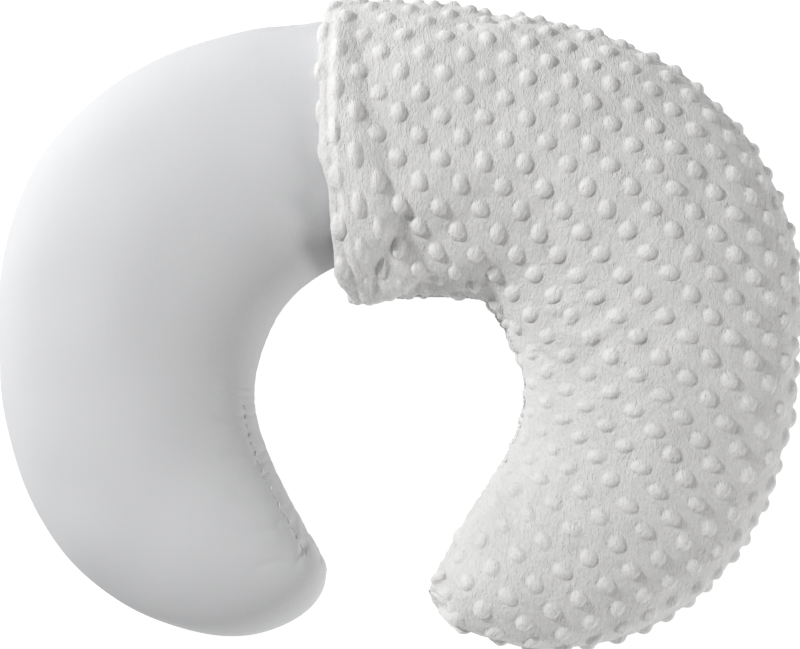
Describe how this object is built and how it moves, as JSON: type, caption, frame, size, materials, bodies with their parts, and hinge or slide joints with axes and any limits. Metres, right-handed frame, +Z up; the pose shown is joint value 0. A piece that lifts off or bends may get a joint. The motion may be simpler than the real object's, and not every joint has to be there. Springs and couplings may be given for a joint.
{
  "type": "nursing pillow",
  "caption": "C-shaped stuffed nursing pillow, left half in bare ticking, right half in a raised-dot plush slipcover turned under at a thick fold, with an inner-edge zip.",
  "frame": {"origin": "centre of the footprint, on the floor the pillow lies on", "axes": "+X from the bare left arm to the covered right arm, +Y from the open mouth to the back of the crown, +Z up"},
  "size_m": [0.5212, 0.42, 0.1395],
  "materials": {
    "filling": "loose polyester fibre",
    "ticking": "plain-woven matte",
    "plush": "short pile with raised dots",
    "thread": "spun thread",
    "nylon": "moulded nylon coil",
    "tape": "woven tape",
    "zip_metal": "nickel-plated die casting"
  },
  "bodies": {
    "pillow": {"fibre_filling": "filling", "ticking_top_panel": "ticking", "ticking_bottom_panel": "ticking", "ticking_seam_thread": "thread", "closing_seam_thread": "thread", "cover_top_panel": "plush", "cover_bottom_panel": "plush", "turned_in_cover_half": "plush", "cover_seam_thread": "thread", "zip_coil_upper": "nylon", "zip_coil_lower": "nylon", "zip_tape_upper": "tape", "zip_tape_lower": "tape", "zip_stitch_upper": "thread", "zip_stitch_lower": "thread", "zip_bottom_stop": "zip_metal", "zip_top_stop_upper": "zip_metal", "zip_top_stop_lower": "zip_metal"},
    "slider": {"zip_slider": "zip_metal"},
    "pull": {"zip_pull": "zip_metal"}
  },
  "joints": [
    {"name": "zip_slide", "type": "hinge", "parent": "pillow", "child": "slider", "pos_m": [-0.00461, -0.04544, 0.062], "axis": [0, 0, 1], "range_deg": [-56, 0], "deforming": ["zip_coil_upper", "zip_coil_lower"]},
    {"name": "pull_swing", "type": "hinge", "parent": "slider", "child": "pull", "pos_m": [0.06727, 0.00304, 0.062], "axis": [0, 0, -1], "range_deg": [0, 120]}
  ]
}
